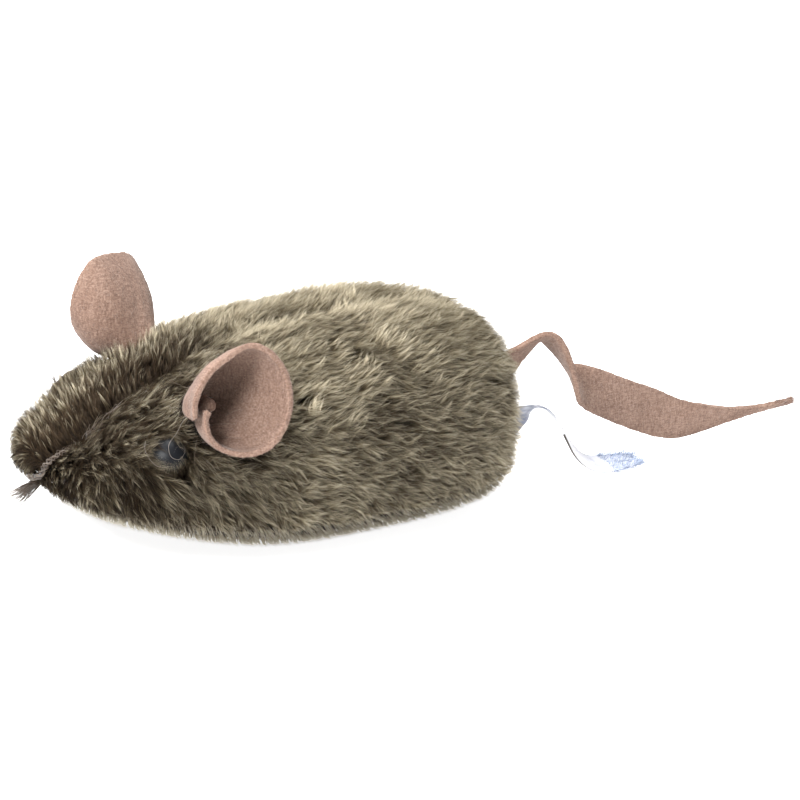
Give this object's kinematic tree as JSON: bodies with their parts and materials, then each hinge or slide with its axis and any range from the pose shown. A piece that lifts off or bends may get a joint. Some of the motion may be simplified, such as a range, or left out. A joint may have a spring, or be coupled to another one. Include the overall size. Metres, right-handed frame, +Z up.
{
  "type": "plush mouse cat toy",
  "caption": "Plush mouse cat toy with felt ears and tail, bead eyes, a satin tape and a motion-triggered sound capsule inside.",
  "frame": {"origin": "on the flat patch of belly that the toy rests on, midway between nose and rump, on the middle plane", "axes": "+X from nose to tail, +Z up from the rest face, +Y towards the mouse's right side"},
  "size_m": [0.184, 0.056, 0.0467],
  "materials": {
    "side_fur": "long taupe pile with pale tips and dark roots",
    "belly_fur": "shorter grey-beige pile",
    "felt": "fuzzy rose-brown felt",
    "satin": "woven white satin, blank",
    "thread": "dark brown twisted thread",
    "stuffing": "white polyester fibre",
    "eye_bead": "polished dark slate",
    "washer": "natural nylon",
    "case": "fine moulded, off-white",
    "board": "green lacquered board",
    "resin": "black potting resin",
    "red_sleeve": "soft insulation",
    "black_sleeve": "soft insulation",
    "cell_steel": "plated cell can",
    "screw_steel": "zinc-plated screw",
    "contact_brass": "sheet brass"
  },
  "bodies": {
    "plush_body": {"left_side_panel": "side_fur", "right_side_panel": "side_fur", "belly_panel": "belly_fur", "fibre_filling": "stuffing", "left_eye": "eye_bead", "right_eye": "eye_bead", "left_eye_washer": "washer", "right_eye_washer": "washer", "nose_tuft": "thread", "sound_case_base": "case", "sound_case_cover": "case", "button_cell_1": "cell_steel", "button_cell_2": "cell_steel", "button_cell_3": "cell_steel", "cell_contact_1": "contact_brass", "cell_contact_2": "contact_brass", "cell_contact_3": "contact_brass", "circuit_board": "board", "sound_chip": "resin", "motion_switch_can": "cell_steel", "motion_switch_plug": "contact_brass", "piezo_disc": "contact_brass", "red_lead": "red_sleeve", "black_lead": "black_sleeve", "case_screw_1": "screw_steel", "case_screw_2": "screw_steel", "case_screw_3": "screw_steel"},
    "left_ear_flap": {"left_ear": "felt"},
    "right_ear_flap": {"right_ear": "felt"},
    "tail_strip": {"tail": "felt"},
    "tape_strip": {"satin_tape": "satin"},
    "switch_ball": {"motion_switch_ball": "contact_brass"}
  },
  "joints": [
    {"name": "left_ear_fold", "type": "hinge", "parent": "plush_body", "child": "left_ear_flap", "pos_m": [-0.02177, -0.01308, 0.02891], "axis": [-1, 0, 0], "range_deg": [0, 20], "stiffness_Nm_per_rad": 0.002},
    {"name": "right_ear_fold", "type": "hinge", "parent": "plush_body", "child": "right_ear_flap", "pos_m": [-0.02008, 0.01328, 0.0295], "axis": [1, 0, 0], "range_deg": [0, 20], "stiffness_Nm_per_rad": 0.002},
    {"name": "tail_swing", "type": "hinge", "parent": "plush_body", "child": "tail_strip", "pos_m": [0.05, 0, 0.02133], "axis": [0, 0, 1], "range_deg": [-30, 30], "stiffness_Nm_per_rad": 0.002},
    {"name": "tape_swing", "type": "hinge", "parent": "plush_body", "child": "tape_strip", "pos_m": [0.0505, -0.0025, 0.0096], "axis": [0, 0, 1], "range_deg": [-30, 30], "stiffness_Nm_per_rad": 0.0002},
    {"name": "switch_ball_roll", "type": "slide", "parent": "plush_body", "child": "switch_ball", "axis": [1, 0, 0], "range_m": [0, 0.0025]}
  ]
}
